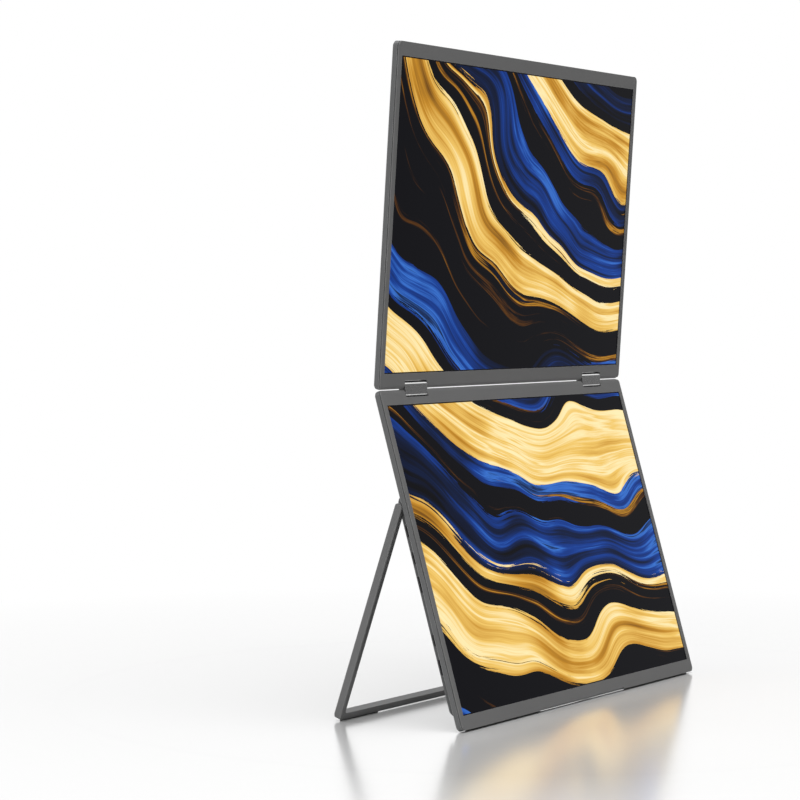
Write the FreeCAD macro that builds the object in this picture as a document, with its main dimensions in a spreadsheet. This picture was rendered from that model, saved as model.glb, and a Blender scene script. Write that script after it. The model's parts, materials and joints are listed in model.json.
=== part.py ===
import FreeCAD, Part
import math
import os
import re
import Sketcher
from FreeCAD import Placement, Rotation, Vector

# Folding two-screen monitor with a U-shaped kickstand, millimetres.
# Each screen is drawn in its own frame: its hinge axis is the X axis, its front looks
# along -Y and its far edge lies down -Z. The upper screen is the same screen turned over.

SIZES = (
    ("width", 354.0, "width of each screen"),
    ("height", 236.0, "height of each screen, hinge edge to far edge"),
    ("thickness", 5.4, "thickness of each screen"),
    ("corner_radius", 4.0, "corner radius of each screen seen from the front"),
    ("back_chamfer", 0.7, "chamfer round the back of a housing"),
    ("bezel_chamfer", 0.2, "chamfer round the front of a bezel"),
    ("side_wall", 1.1, "side wall of a rear housing"),
    ("back_wall", 0.9, "back wall of a rear housing"),
    ("bezel_side", 4.65, "visible bezel at the sides"),
    ("bezel_far", 9.7, "visible bezel at the far edge"),
    ("bezel_hinge", 10.9, "visible bezel at the hinge edge"),
    ("bezel_depth", 0.7, "thickness of the front bezel"),
    ("seam_depth", 0.6, "thickness of the mid frame, seen as the seam"),
    ("seam_inset", 0.35, "how far the seam lies inside the outline"),
    ("seam_width", 1.3, "width of the mid frame ring"),
    ("seam_hinge", 3.0, "width of the mid frame ring along the hinge edge"),
    ("cell_lap", 1.4, "lap of the display cell under the bezel"),
    ("cell_depth", 1.0, "thickness of the display cell"),
    ("backlight_depth", 1.7, "thickness of the backlight unit"),
    ("fit_gap", 0.1, "gap between pieces that are set beside each other"),
    ("driver_clear", 10.0, "gap between a display driver board and the hinge leaves"),
    ("driver_height", 12.0, "height of a display driver board"),
    ("driver_depth", 0.8, "thickness of a display driver board"),
    ("driver_drop", 8.0, "driver board edge below the hinge axis"),
    ("axis_spacing", 6.0, "distance between the two hinge axes"),
    ("hinge_inset", 47.0, "centre of each hinge from the screen's side"),
    ("link_width", 29.0, "width of a hinge cover"),
    ("link_gap", 0.4, "gap between a hinge cover and its notch"),
    ("notch_wall", 1.0, "wall beside and behind a hinge notch"),
    ("pin_radius", 1.0, "radius of a hinge pin"),
    ("pin_gap", 0.05, "running clearance round a pin"),
    ("seat_gap", 0.02, "clearance round a pin where it is held"),
    ("wall_gap", 0.3, "clearance round a pin where it only passes"),
    ("knuckle_radius", 1.75, "outer radius of a friction knuckle"),
    ("knuckle_length", 9.0, "length of a friction knuckle"),
    ("knuckle_slit", 0.3, "slit that lets a knuckle grip its pin"),
    ("leaf_thickness", 0.9, "thickness of a hinge leaf"),
    ("leaf_reach", 18.0, "reach of a hinge leaf below its axis"),
    ("leaf_screw_offset", 20.0, "leaf screws from the middle of the hinge"),
    ("leaf_screw_drop", 12.0, "leaf screws below the axis"),
    ("leaf_screw_radius", 1.0, "radius of the screws that hold a hinge leaf"),
    ("screw_head", 1.6, "head radius of a cover screw"),
    ("screw_head_depth", 0.6, "head depth of a cover screw"),
    ("screw_shank", 0.9, "shank radius of a cover screw"),
    ("screw_bite", 0.5, "depth of a screw in the wall that holds it"),
    ("grip_width", 120.0, "length of the finger notch in the far edge"),
    ("grip_depth", 1.1, "depth of the finger notch"),
    ("strip_width", 100.0, "length of each rubber strip under the far edge"),
    ("strip_inset", 10.0, "outer end of each strip from the screen's side"),
    ("strip_front", 0.9, "front of a strip ahead of the middle plane"),
    ("strip_back", 1.9, "back of a strip behind the middle plane"),
    ("strip_proud", 0.5, "how far a strip stands out of the edge"),
    ("strip_seat", 0.6, "depth of a strip in its groove"),
    ("strip_flat", 0.2, "height pressed flat where a strip stands"),
    ("cover_top", 73.0, "top of the electronics cover below the hinge edge"),
    ("cover_foot", 11.0, "bottom of the electronics cover above the far edge"),
    ("cover_depth", 5.8, "depth of the electronics cover"),
    ("cover_wall", 1.2, "wall of the electronics cover"),
    ("cover_corner", 4.5, "corner radius of the electronics cover"),
    ("cover_chamfer", 1.1, "chamfer round the back of the cover"),
    ("boss_radius", 2.8, "radius of a screw boss in the cover"),
    ("boss_from_side", 20.3, "screw bosses from the cover's inner side"),
    ("boss_inset", 8.0, "screw bosses from the top and bottom of the cover"),
    ("board_width", 108.0, "width of the main board"),
    ("board_clear", 8.14, "gap between the main board and the bosses below it"),
    ("board_depth", 1.2, "thickness of the main board"),
    ("usb_wide", 8.94, "width of a USB-C shell"),
    ("usb_tall", 3.26, "height of a USB-C shell"),
    ("video_wide", 11.2, "width of a mini video shell"),
    ("video_tall", 3.2, "height of a mini video shell"),
    ("port_length", 7.4, "length of a port shell"),
    ("port_wall", 0.3, "sheet thickness of a port shell"),
    ("port_base", 1.0, "depth of the block that closes a port shell"),
    ("tongue_share", 0.333, "half width of a port's tongue over its shell's width"),
    ("port_recess", 0.4, "how far a port lies inside the cover's side"),
    ("port_gap", 0.2, "gap between a port and its cut-out"),
    ("port_first", 24.0, "first port below the cover's top"),
    ("port_second", 18.7, "second port below the first"),
    ("port_third", 18.3, "third port below the second"),
    ("port_fourth", 18.8, "fourth port above the last"),
    ("port_last", 33.7, "last port above the cover's bottom"),
    ("button_tall", 2.6, "height of a button cap"),
    ("button_proud", 0.3, "how far a cap stands out of the cover"),
    ("button_gap", 0.15, "gap round a button cap"),
    ("button_travel", 0.6, "travel of a button"),
    ("button_flange", 0.8, "flange that keeps a button in the cover"),
    ("power_wide", 9.0, "length of the power button"),
    ("power_place", 24.0, "power button below the cover's top"),
    ("rocker_wide", 18.0, "length of the menu button"),
    ("rocker_place", 23.0, "menu button below the power button"),
    ("key_board_width", 16.0, "width of the button board"),
    ("key_board_height", 48.0, "height of the button board"),
    ("switch_length", 4.0, "length of a switch behind a button"),
    ("switch_width", 6.0, "width of a switch behind a button"),
    ("stand_bar", 5.0, "width of the kickstand's legs and crossbar"),
    ("stand_depth", 5.7, "depth of the kickstand's legs and crossbar"),
    ("stand_gap", 0.5, "gap between the kickstand and the cover"),
    ("pivot_drop", 7.0, "kickstand pivot below the top of the electronics cover"),
    ("stand_inner_corner", 2.0, "inner corner radius of the kickstand"),
    ("stand_chamfer", 0.5, "chamfer along the kickstand's outer edges"),
    ("stand_pin_radius", 1.25, "radius of a kickstand pin"),
    ("stand_pin_seat", 3.5, "depth of a kickstand pin in its leg"),
    ("bracket_width", 9.0, "width of a kickstand bracket"),
    ("bracket_foot", 4.0, "kickstand bracket below its pin's axis"),
    ("washer_radius", 2.4, "radius of a friction washer"),
    ("pad_length", 42.0, "length of a kickstand pad"),
    ("pad_inset", 9.0, "pad end from the kickstand's outer face"),
    ("pad_edge", 0.5, "crossbar face beyond a pad"),
    ("pad_least", 0.35, "height of the crossbar over the floor"),
    ("lower_lean_angle", 16.2, "lower screen leans back, degrees"),
    ("upper_lean_angle", 3.8, "upper screen leans forward, degrees"),
    ("overcut", 1.0, "how far a cutting form runs past what it cuts"),
)

os.makedirs("parts", exist_ok=True)
doc = FreeCAD.newDocument("screen_extender")
sheet = doc.addObject("Spreadsheet::Sheet", "Sizes")
for row, (alias, number, note) in enumerate(SIZES, 1):
    sheet.set(f"A{row}", note)
    sheet.set(f"B{row}", str(number))
    sheet.setAlias(f"B{row}", alias)
doc.recompute()

ALIASES = re.compile(r"\b(" + "|".join(alias for alias, number, note in SIZES) + r")\b")

# Levels through a screen, front to back, and its two edges.
FRONT = "(-thickness / 2)"
BEZEL_BACK = "(-thickness / 2 + bezel_depth)"
SEAM_BACK = "(-thickness / 2 + bezel_depth + seam_depth)"
CELL_BACK = "(-thickness / 2 + bezel_depth + cell_depth)"
LIGHT_BACK = "(-thickness / 2 + bezel_depth + cell_depth + backlight_depth)"
TRAY_FLOOR = "(thickness / 2 - back_wall)"
BACK = "(thickness / 2)"
HINGE_EDGE = "(thickness / 2)"
FAR_EDGE = "(thickness / 2 - height)"

# The raised cover on the lower screen.
COVER_SIDE = "(width / 2 - stand_bar - stand_gap)"
COVER_INSIDE = "(width / 2 - stand_bar - stand_gap - cover_wall)"
COVER_BACK = "(thickness / 2 + cover_depth)"
COVER_TOP = "(thickness / 2 - cover_top)"
COVER_BOTTOM = "(thickness / 2 - height + cover_foot)"
BOARD_TOP = "(thickness / 2 + board_depth)"

# From the kickstand's pivot to the outer face of its crossbar, which closes level with the far edge.
STAND_REACH = "(height - cover_top - pivot_drop)"

# Hinges, measured along their axis: the middle of one, then half lengths from there.
HINGE_MIDDLE = "(width / 2 - hinge_inset)"
NOTCH_HALF = "(link_width / 2 + link_gap)"
BLOCK_HALF = "(link_width / 2 + link_gap + notch_wall)"
KNUCKLE_START = "(link_width / 2 + link_gap + notch_wall + fit_gap)"
KNUCKLE_END = "(link_width / 2 + link_gap + notch_wall + fit_gap + knuckle_length)"
BAY_HALF = "(link_width / 2 + link_gap + notch_wall + 2 * fit_gap + knuckle_length)"

SIDES = {"left": -1, "right": 1}
RIM_TOLERANCE = 0.01
TURNS = {"x": Rotation(Vector(0, 1, 0), 90), "y": Rotation(Vector(1, 0, 0), -90)}
nodes = {}


def size(alias):
    return float(sheet.get(alias))


def bind(thing, prop, formula):
    thing.setExpression(prop, ALIASES.sub(r"Sizes.\1", formula))


def box(name, x, y, z):
    """Box whose x, y and z are (low, high) pairs of formulas."""
    solid = doc.addObject("Part::Box", name)
    for prop, letter, (low, high) in zip(("Length", "Width", "Height"), "xyz", (x, y, z)):
        bind(solid, prop, f"({high}) - ({low})")
        bind(solid, "Placement.Base." + letter, low)
    return solid


def set_along(solid, axis, span, centre):
    """Lays a round solid along an axis, from span's low to its high, at the other two places."""
    low, high = span
    solid.Placement = Placement(Vector(), TURNS[axis])
    bind(solid, "Height", f"({high}) - ({low})")
    bind(solid, "Placement.Base." + axis, low)
    for letter, place in zip([letter for letter in "xyz" if letter != axis], centre):
        bind(solid, "Placement.Base." + letter, place)
    return solid


def rod(name, axis, radius, span, centre):
    solid = doc.addObject("Part::Cylinder", name)
    bind(solid, "Radius", radius)
    return set_along(solid, axis, span, centre)


def stud(name, radius, span, centre):
    """Hexagonal stud along Y."""
    solid = doc.addObject("Part::Prism", name)
    solid.Polygon = 6
    bind(solid, "Circumradius", radius)
    return set_along(solid, "y", span, centre)


def fuse(name, *solids):
    result = doc.addObject("Part::MultiFuse", name)
    result.Shapes = list(solids)
    return result


def common(name, *solids):
    result = doc.addObject("Part::MultiCommon", name)
    result.Shapes = list(solids)
    return result


def cut(name, base, *tools):
    result = doc.addObject("Part::Cut", name)
    result.Base = base
    result.Tool = tools[0] if len(tools) == 1 else fuse(name + "_tools", *tools)
    return result


def group(name, *solids):
    """Loose solids of one kind, kept as one node."""
    result = doc.addObject("Part::Compound", name)
    result.Links = list(solids)
    return result


def node(name, solid, frame):
    """Names a finished piece and notes the frame that it is placed in."""
    if any("Placement" in bound for bound, formula in solid.ExpressionEngine):
        solid = group(name + "_piece", solid)
    solid.Label = name
    nodes[name] = (solid, frame)
    return solid


def origin_plane(body, role):
    return next(item for item in body.Origin.OriginFeatures if item.Role == role)


def edges_where(shape, test):
    return [f"Edge{number}" for number, edge in enumerate(shape.Edges, 1) if test(edge)]


def lies_along_y(edge):
    return edge.BoundBox.YLength > RIM_TOLERANCE > edge.BoundBox.XLength + edge.BoundBox.ZLength


def finish_edges(body, feature, kind, edges, prop, amount):
    """Adds a Fillet or Chamfer along the numbered edges of a feature."""
    finish = body.newObject("PartDesign::" + kind, f"{body.Name}_{kind}")
    finish.Base = (feature, edges)
    bind(finish, prop, amount)
    doc.recompute()
    return finish


def plate(name, half_width, z, y, corner=None, back_chamfer=None, front_chamfer=None):
    """Plate in the XZ plane, z and y being (low, high) formulas, with rounded corners and chamfered rims."""
    low, high = z
    front, back = y
    body = doc.addObject("PartDesign::Body", name)
    outline = body.newObject("Sketcher::SketchObject", name + "_outline")
    outline.AttachmentSupport = (origin_plane(body, "XZ_Plane"), [""])
    outline.MapMode = "FlatFace"
    bind(outline, "AttachmentOffset.Base.z", f"-({back})")
    corners = (Vector(-1, -1), Vector(1, -1), Vector(1, 1), Vector(-1, 1))
    for start, end in zip(corners, corners[1:] + corners[:1]):
        outline.addGeometry(Part.LineSegment(start, end))
    for line in range(4):
        outline.addConstraint(Sketcher.Constraint("Coincident", line, 2, (line + 1) % 4, 1))
        outline.addConstraint(Sketcher.Constraint(("Horizontal", "Vertical")[line % 2], line))
    for dimension, places, formula in (
            ("left", ("DistanceX", 0, 1, -1, 1), half_width),
            ("right", ("DistanceX", -1, 1, 1, 1), half_width),
            ("low", ("DistanceY", -1, 1, 0, 1), low),
            ("high", ("DistanceY", -1, 1, 2, 1), high)):
        number = outline.addConstraint(Sketcher.Constraint(*places, 1.0))
        outline.renameConstraint(number, dimension)
        bind(outline, "Constraints." + dimension, formula)
    pad = body.newObject("PartDesign::Pad", name + "_pad")
    pad.Profile = outline
    bind(pad, "Length", f"({back}) - ({front})")
    doc.recompute()
    last = pad
    if corner:
        last = finish_edges(body, last, "Fillet", edges_where(last.Shape, lies_along_y), "Radius", corner)
    if back_chamfer:
        rim = last.Shape.BoundBox.YMax - RIM_TOLERANCE
        edges = edges_where(last.Shape, lambda edge: edge.BoundBox.YMin > rim)
        last = finish_edges(body, last, "Chamfer", edges, "Size", back_chamfer)
    if front_chamfer:
        rim = last.Shape.BoundBox.YMin + RIM_TOLERANCE
        edges = edges_where(last.Shape, lambda edge: edge.BoundBox.YMax < rim)
        last = finish_edges(body, last, "Chamfer", edges, "Size", front_chamfer)
    return body


def hinge_form(name, radius):
    """Everything below the hinge axis within a radius, with the full round round the axis."""
    across = ("-width / 2 - overcut", "width / 2 + overcut")
    slab = box(name + "_slab", across, (f"-{radius}", radius), ("-2 * height", "0"))
    return fuse(name, slab, rod(name + "_round", "x", radius, across, ("0", "0")))


def around(side, half, low_extra="0"):
    """Span along X around the middle of one hinge."""
    return (f"{side} * {HINGE_MIDDLE} - {half} - {low_extra}", f"{side} * {HINGE_MIDDLE} + {half} + {low_extra}")


def hinge_boxes(name, half, y, z):
    """The same box at both hinges."""
    return [box(f"{name}_{word}", around(side, half), y, z) for word, side in SIDES.items()]


def finger_notch(name):
    return box(name, ("-grip_width / 2", "grip_width / 2"), ("-thickness", "-strip_front - fit_gap"),
               (FAR_EDGE + " - overcut", FAR_EDGE + " + grip_depth"))


def leaf_screw_places():
    for word, side in SIDES.items():
        for hand in (-1, 1):
            x = f"{side} * {HINGE_MIDDLE} + {hand} * leaf_screw_offset"
            yield f"{word}{hand + 1}", x, "-leaf_screw_drop"


def leaf_screw(name, x, z, spare="0"):
    """Stud from the leaf's face into the tray, or room for it with spare all round."""
    return stud(name, f"leaf_screw_radius + {spare}",
                ("knuckle_radius - leaf_thickness", f"{TRAY_FLOOR} + screw_bite + {spare}"), (x, z))


def cover_screw(name, x, z, spare="0"):
    """Flat-headed screw from the cover's back into the tray, or room for it with spare all round."""
    sunk = (f"{COVER_BACK} - screw_head_depth", COVER_BACK)
    through = (f"{BACK} - screw_bite - {spare}", COVER_BACK)
    head = rod(name + "_head", "y", f"screw_head + {spare}", sunk, (x, z))
    shank = stud(name + "_shank", f"screw_shank + {spare}", through, (x, z))
    return fuse(name, head, shank)


def rear_housing(prefix, fastened):
    """Tray with side walls, a rounded hinge edge, two walled notches and holes for what it holds."""
    name = prefix + "_tray"
    outer = common(name + "_outer",
                   plate(name + "_plate", "width / 2", (FAR_EDGE, HINGE_EDGE), (SEAM_BACK, BACK),
                         "corner_radius", "back_chamfer"),
                   hinge_form(name + "_outer_form", BACK))
    cavity = common(name + "_cavity",
                    plate(name + "_room", "width / 2 - side_wall",
                          (FAR_EDGE + " + side_wall", HINGE_EDGE), (SEAM_BACK + " - overcut", TRAY_FLOOR),
                          "corner_radius - side_wall"),
                    hinge_form(name + "_cavity_form", TRAY_FLOOR))
    blocks = hinge_boxes(name + "_block", BLOCK_HALF, (BEZEL_BACK, BACK),
                         ("-thickness / 2 - link_gap - notch_wall", HINGE_EDGE))
    walls = common(name + "_walls", fuse(name + "_blocks", *blocks), hinge_form(name + "_wall_form", BACK))
    shell = fuse(name + "_shell", cut(name + "_hollow", outer, cavity), walls)
    holes = hinge_boxes(name + "_notch", NOTCH_HALF, ("-thickness", "thickness"),
                        ("-thickness / 2 - link_gap", "thickness"))
    clear = ("-pin_radius - wall_gap", "pin_radius + wall_gap")
    holes += hinge_boxes(name + "_pass", KNUCKLE_START, clear, clear)
    for mark, x, z in leaf_screw_places():
        holes.append(leaf_screw(f"{name}_thread_{mark}", x, z, "pin_gap"))
    return cut(name, shell, *holes, *fastened)


def mid_frame(prefix, fastened):
    """Black ring between tray and bezel, set back from the outline so that it shows as the seam."""
    name = prefix + "_ring"
    outer = common(name + "_outer",
                   plate(name + "_plate", "width / 2 - seam_inset",
                         (FAR_EDGE + " + seam_inset", HINGE_EDGE + " - seam_inset"), (BEZEL_BACK, SEAM_BACK),
                         "corner_radius - seam_inset"),
                   hinge_form(name + "_form", "(thickness / 2 - seam_inset)"))
    inner = plate(name + "_inner", "width / 2 - seam_inset - seam_width",
                  (FAR_EDGE + " + seam_inset + seam_width", "thickness / 2 - seam_hinge"),
                  (BEZEL_BACK + " - overcut", SEAM_BACK + " + overcut"))
    bays = hinge_boxes(name + "_bay", BAY_HALF, (FRONT, BACK), ("-knuckle_radius - fit_gap", "thickness"))
    return cut(name, outer, inner, *bays, *fastened)


def front_bezel(prefix, fastened):
    name = prefix + "_front"
    outer = common(name + "_outer",
                   plate(name + "_plate", "width / 2", (FAR_EDGE, HINGE_EDGE), (FRONT, BEZEL_BACK),
                         "corner_radius", front_chamfer="bezel_chamfer"),
                   hinge_form(name + "_form", BACK))
    window = box(name + "_window", ("-width / 2 + bezel_side", "width / 2 - bezel_side"),
                 ("-thickness", "0"), (FAR_EDGE + " + bezel_far", HINGE_EDGE + " - bezel_hinge"))
    notches = hinge_boxes(name + "_notch", NOTCH_HALF, ("-thickness", "0"),
                          ("-thickness / 2 - link_gap", "thickness"))
    return cut(name, outer, window, *notches, *fastened)


def behind_window(name, front, back):
    """Sheet that covers the window and laps under the bezel on all four sides."""
    across = ("-width / 2 + bezel_side - cell_lap", "width / 2 - bezel_side + cell_lap")
    return box(name, across, (front, back),
               (FAR_EDGE + " + bezel_far - cell_lap", HINGE_EDGE + " - bezel_hinge + cell_lap"))


def driver_board(prefix):
    half = f"({HINGE_MIDDLE} - {KNUCKLE_END} - driver_clear)"
    return box(prefix + "_board", (f"-{half}", half),
               (TRAY_FLOOR + " - driver_depth", TRAY_FLOOR), ("-driver_drop - driver_height", "-driver_drop"))


def hinge_leaf(prefix, word):
    """Leaf that is screwed to the tray and grips the pin with a slit knuckle at each end."""
    name = f"{prefix}_leaf_{word}"
    side = SIDES[word]
    through = ("knuckle_radius - leaf_thickness", "knuckle_radius")
    solids = [box(name + "_plate", around(side, KNUCKLE_END), through,
                  ("-leaf_reach", "-thickness / 2 - link_gap - notch_wall - fit_gap"))]
    slits = [rod(name + "_bore", "x", "pin_radius + pin_gap", around(side, BAY_HALF, "overcut"), ("0", "0")),
             box(name + "_slit", around(side, BAY_HALF, "overcut"), ("-2 * knuckle_radius", "0"),
                 ("-knuckle_slit / 2", "knuckle_slit / 2"))]
    for hand in (-1, 1):
        span = tuple(f"{side} * {HINGE_MIDDLE} + {hand} * {end}" for end in
                     ((KNUCKLE_START, KNUCKLE_END) if hand > 0 else (KNUCKLE_END, KNUCKLE_START)))
        solids.append(rod(f"{name}_knuckle{hand + 1}", "x", "knuckle_radius", span, ("0", "0")))
        solids.append(box(f"{name}_strap{hand + 1}", span, through, ("-leaf_reach", "0")))
    for mark, x, z in leaf_screw_places():
        if mark.startswith(word):
            slits.append(leaf_screw(f"{name}_hole_{mark}", x, z, "pin_gap"))
    return cut(name, fuse(name + "_solid", *solids), *slits)


def leaf_screws(prefix):
    screws = [leaf_screw(f"{prefix}_leaf_screw_{mark}", x, z) for mark, x, z in leaf_screw_places()]
    return group(prefix + "_leaf_screw_set", *screws)


def build_screen(prefix, tray_cuts, mid_cuts, front_cuts):
    frame = prefix
    node(prefix + "_rear_housing", rear_housing(prefix, tray_cuts), frame)
    node(prefix + "_mid_frame", mid_frame(prefix, mid_cuts), frame)
    node(prefix + "_front_bezel", front_bezel(prefix, front_cuts), frame)
    node(prefix + "_display_cell", behind_window(prefix + "_cell", BEZEL_BACK, CELL_BACK), frame)
    node(prefix + "_backlight", behind_window(prefix + "_light", CELL_BACK, LIGHT_BACK), frame)
    node(prefix + "_driver_board", driver_board(prefix), frame)
    node(prefix + "_leaf_screws", leaf_screws(prefix), frame)
    for word in SIDES:
        node(f"{prefix}_hinge_leaf_{word}", hinge_leaf(prefix, word), frame)


def hinge_cover(word):
    """Link with a round end about each axis, bored for both pins."""
    name = "cover_" + word
    span = around(SIDES[word], "link_width / 2")
    ends = [rod(f"{name}_end{level}", "x", BACK, span, ("0", level)) for level in ("0", "axis_spacing")]
    web = box(name + "_web", span, (FRONT, BACK), ("0", "axis_spacing"))
    through = around(SIDES[word], "link_width / 2", "overcut")
    bores = [rod(f"{name}_bore{level}", "x", "pin_radius + seat_gap", through, ("0", level))
             for level in ("0", "axis_spacing")]
    return cut(name, fuse(name + "_solid", *ends, web), *bores)


def hinge_pins(name, level):
    pins = [rod(f"{name}_{word}", "x", "pin_radius", around(side, KNUCKLE_END), ("0", level))
            for word, side in SIDES.items()]
    return group(name, *pins)


def build_links():
    for word in SIDES:
        node("hinge_cover_" + word, hinge_cover(word), "link")
    node("lower_hinge_pins", hinge_pins("low_pins", "0"), "link")
    node("upper_hinge_pins", hinge_pins("high_pins", "axis_spacing"), "link")


def box_along_x(name, span, y, z, wide, tall):
    """Box along X about a middle line, wide along Z and tall along Y."""
    return box(name, span, (f"{y} - {tall} / 2", f"{y} + {tall} / 2"),
               (f"{z} - {wide} / 2", f"{z} + {wide} / 2"))


def slot_along_x(name, span, y, z, wide, tall):
    """Slot-shaped rod along X, wide along Z and tall along Y."""
    reach = f"({wide} / 2 - {tall} / 2)"
    flat = box_along_x(name + "_flat", span, y, z, f"(2 * {reach})", tall)
    low, high = [rod(name + word, "x", f"{tall} / 2", span, (y, f"{z} {sign} {reach}"))
                 for word, sign in (("_low", "-"), ("_high", "+"))]
    return fuse(name, flat, low, high)


PORTS = (("usb_first", "usb", f"({COVER_TOP} - port_first)"),
         ("usb_second", "usb", f"({COVER_TOP} - port_first - port_second)"),
         ("video_first", "video", f"({COVER_TOP} - port_first - port_second - port_third)"),
         ("usb_third", "usb", f"({COVER_BOTTOM} + port_last + port_fourth)"),
         ("video_second", "video", f"({COVER_BOTTOM} + port_last)"))
PORT_MOUTH = f"(-{COVER_SIDE} + port_recess)"


def port_middle(kind):
    return f"({BOARD_TOP} + {kind}_tall / 2)"


def port_shell(name, z, kind):
    """Metal shell on the board's edge with its tongue inside."""
    middle = port_middle(kind)
    shape = slot_along_x if kind == "usb" else box_along_x
    span = (PORT_MOUTH, PORT_MOUTH + " + port_length")
    shell = shape(name + "_shell", span, middle, z, f"{kind}_wide", f"{kind}_tall")
    open_span = (PORT_MOUTH + " - overcut", PORT_MOUTH + " + port_length - port_base")
    room = shape(name + "_room", open_span, middle, z,
                 f"({kind}_wide - 2 * port_wall)", f"({kind}_tall - 2 * port_wall)")
    half = f"{kind}_wide * tongue_share"
    tongue = box(name + "_tongue", (PORT_MOUTH + " + port_wall", PORT_MOUTH + " + port_length - port_base"),
                 (f"{middle} - port_wall", f"{middle} + port_wall"), (f"{z} - {half}", f"{z} + {half}"))
    return fuse(name, cut(name + "_hollow", shell, room), tongue)


def port_cut(name, z, kind):
    shape = slot_along_x if kind == "usb" else box_along_x
    span = (f"-{COVER_SIDE} - overcut", f"-{COVER_INSIDE} + overcut")
    return shape(name, span, port_middle(kind), z,
                 f"({kind}_wide + 2 * port_gap)", f"({kind}_tall + 2 * port_gap)")


def boss_places():
    for hand, side in SIDES.items():
        for word, z in (("top", COVER_TOP + " - boss_inset"), ("low", COVER_BOTTOM + " + boss_inset")):
            yield f"{word}_{hand}", f"{side} * ({COVER_INSIDE} - boss_from_side)", z


BUTTONS = (("power_button", "power", f"({COVER_TOP} - power_place)"),
           ("menu_button", "rocker", f"({COVER_TOP} - power_place - rocker_place)"))
BUTTON_MIDDLE = f"({BOARD_TOP} + usb_tall / 2)"


def button_cut(name, kind, z):
    span = (COVER_INSIDE + " - overcut", COVER_SIDE + " + overcut")
    return slot_along_x(name, span, BUTTON_MIDDLE, z,
                        f"({kind}_wide + 2 * button_gap)", "(button_tall + 2 * button_gap)")


def push_button(name, kind, z):
    """Cap that shows in the cover's side, with a flange behind the wall that keeps it in."""
    span = (COVER_INSIDE + " - fit_gap", COVER_SIDE + " + button_proud")
    cap = slot_along_x(name + "_cap", span, BUTTON_MIDDLE, z, f"{kind}_wide", "button_tall")
    flange = box(name + "_flange", (COVER_INSIDE + " - fit_gap - button_flange", COVER_INSIDE + " - fit_gap"),
                 (f"{BUTTON_MIDDLE} - usb_tall / 2", f"{BUTTON_MIDDLE} + usb_tall / 2"),
                 (f"{z} - {kind}_wide / 2 - button_flange", f"{z} + {kind}_wide / 2 + button_flange"))
    return fuse(name, cap, flange)


def electronics_cover():
    """Raised shell on the lower screen's back, with ports on the left and buttons on the right."""
    name = "shell"
    outer = plate(name + "_outer", COVER_SIDE, (COVER_BOTTOM, COVER_TOP), (BACK, COVER_BACK), "cover_corner",
                  "cover_chamfer")
    inner = plate(name + "_inner", COVER_INSIDE,
                  (COVER_BOTTOM + " + cover_wall", COVER_TOP + " - cover_wall"),
                  (BACK + " - overcut", COVER_BACK + " - cover_wall"), "cover_corner - cover_wall")
    posts = [stud(f"{name}_boss_{mark}", "boss_radius", (BACK, COVER_BACK + " - cover_wall / 2"), (x, z))
             for mark, x, z in boss_places()]
    solid = fuse(name + "_solid", cut(name + "_hollow", outer, inner), *posts)
    holes = [port_cut(f"{name}_{word}", z, kind) for word, kind, z in PORTS]
    holes += [button_cut(f"{name}_{kind}", kind, z) for word, kind, z in BUTTONS]
    holes += [cover_screw(f"{name}_hole_{mark}", x, z, "pin_gap") for mark, x, z in boss_places()]
    wide = "2 * stand_pin_radius + 2 * wall_gap"
    for word, side in SIDES.items():
        span = stand_span(side, f"{COVER_INSIDE} - overcut", f"{COVER_SIDE} + overcut")
        holes.append(box_along_x(f"{name}_pivot_{word}", span, *STAND_AXIS, f"({wide})", f"({wide})"))
    return cut(name, solid, *holes)


def cover_screws():
    screws = [cover_screw(f"cover_screw_{mark}", x, z) for mark, x, z in boss_places()]
    return group("cover_screw_set", *screws)


STAND_AXIS = ("(thickness / 2 + fit_gap / 2 + stand_depth / 2)", "(thickness / 2 - cover_top - pivot_drop)")


def stand_span(side, inner, outer):
    """Span along X on one side, from an inner to an outer place."""
    return (inner, outer) if side > 0 else (f"-({outer})", f"-({inner})")


def stand_brackets():
    """Blocks inside the cover in which the kickstand's pins turn."""
    brackets = []
    for word, side in SIDES.items():
        y, z = STAND_AXIS
        block = box("bracket_block_" + word, stand_span(side, f"{COVER_INSIDE} - bracket_width", COVER_INSIDE),
                    (BACK, COVER_BACK + " - cover_wall"),
                    (f"{z} - bracket_foot", f"{COVER_TOP} - cover_corner"))
        through = stand_span(side, f"{COVER_INSIDE} - bracket_width - overcut", f"{COVER_INSIDE} + overcut")
        bore = rod("bracket_bore_" + word, "x", "stand_pin_radius + pin_gap", through, STAND_AXIS)
        brackets.append(cut("bracket_" + word, block, bore))
    return group("bracket_set", *brackets)


def stand_washers():
    washers = []
    for word, side in SIDES.items():
        span = stand_span(side, COVER_SIDE, f"({COVER_SIDE} + stand_gap)")
        ring = rod("washer_ring_" + word, "x", "washer_radius", span, STAND_AXIS)
        through = stand_span(side, f"{COVER_SIDE} - overcut", f"{COVER_SIDE} + stand_gap + overcut")
        bore = rod("washer_bore_" + word, "x", "stand_pin_radius + pin_gap", through, STAND_AXIS)
        washers.append(cut("washer_" + word, ring, bore))
    return group("washer_set", *washers)


BOARD_HIGH = f"({COVER_TOP} - port_first + usb_wide)"
BOARD_LOW = f"({COVER_BOTTOM} + boss_inset + boss_radius + board_clear)"


def main_board():
    return box("logic_board", (f"-{COVER_INSIDE} + fit_gap", f"-{COVER_INSIDE} + board_width"),
               (BACK, BOARD_TOP), (BOARD_LOW, BOARD_HIGH))


CHIPS = (("scaler_chip", 55.0, f"({BOARD_HIGH} - 60.0)", 19.0, 1.4),
         ("power_chip", 34.0, f"({BOARD_HIGH} - 24.0)", 9.0, 1.1),
         ("flash_chip", 84.0, f"({BOARD_HIGH} - 40.0)", 7.0, 1.0),
         ("hub_chip", 48.0, f"({BOARD_LOW} + 26.0)", 10.0, 1.1))


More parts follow.
